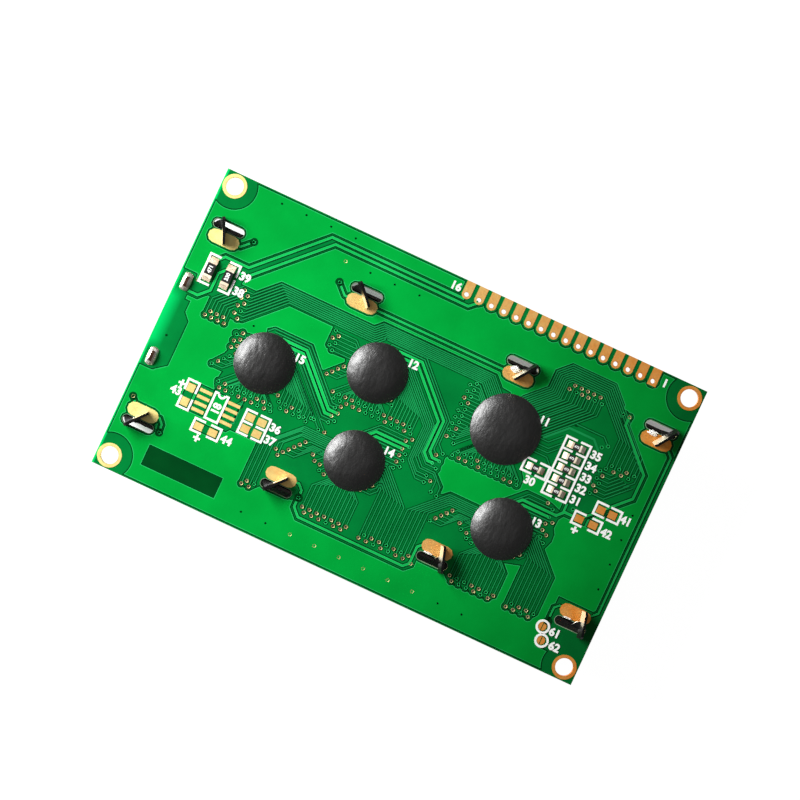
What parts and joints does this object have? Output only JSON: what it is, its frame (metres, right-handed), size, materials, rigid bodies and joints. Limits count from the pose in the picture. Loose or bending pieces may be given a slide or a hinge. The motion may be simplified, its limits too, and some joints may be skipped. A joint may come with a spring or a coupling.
{
  "type": "character lcd module",
  "caption": "Character display module: a green circuit board in a steel bezel with twisted lock tabs, a row of header holes along one edge, and potted chips on the back.",
  "frame": {"origin": "middle of the bezel's flat front face, which is the bottom of the whole part", "axes": "+Z out of the board's component side, away from the display; +X along the long side towards pin 1; +Y towards the edge with the header row"},
  "size_m": [0.098, 0.06, 0.0136],
  "materials": {
    "board": "fibreglass board under glossy green solder mask",
    "masked_copper": "bright green solder mask over copper",
    "pad_gold": "thin bright gold plating on copper",
    "solder": "bright tin solder",
    "lead": "tinned lead frame with a bare cut end",
    "epoxy": "semi-gloss black epoxy, poured and cured",
    "chip_body": "black overglaze on a chip resistor",
    "bezel_steel": "satin black on pressed steel",
    "display_film": "polarising film",
    "display_glass": "clear float glass",
    "seal": "thin epoxy seal",
    "contact_rubber": "layered silicone strip, matt",
    "white_plastic": "matt white moulding",
    "led_lens": "clear yellow-green lamp body"
  },
  "bodies": {
    "root": {"circuit_board": "board", "ground_pour": "masked_copper", "supply_tracks": "masked_copper", "header_pads": "pad_gold", "tab_pads": "pad_gold", "mounting_hole_rings": "pad_gold", "component_pads": "pad_gold", "controller_chip_drop": "epoxy", "driver_chip_drop_1": "epoxy", "driver_chip_drop_2": "epoxy", "driver_chip_drop_3": "epoxy", "driver_chip_drop_4": "epoxy", "resistor_bodies": "chip_body", "resistor_ends": "solder", "resistor_solder": "solder", "backlight_leads": "lead", "backlight_solder": "solder", "bezel": "bezel_steel", "front_polariser": "display_film", "front_glass": "display_glass", "cell_seal": "seal", "rear_glass": "display_glass", "rear_polariser": "display_film", "upper_contact_strip": "contact_rubber", "lower_contact_strip": "contact_rubber", "diffuser": "white_plastic", "backlight_frame": "white_plastic", "led_board": "board", "led_chips": "led_lens"}
  },
  "joints": []
}
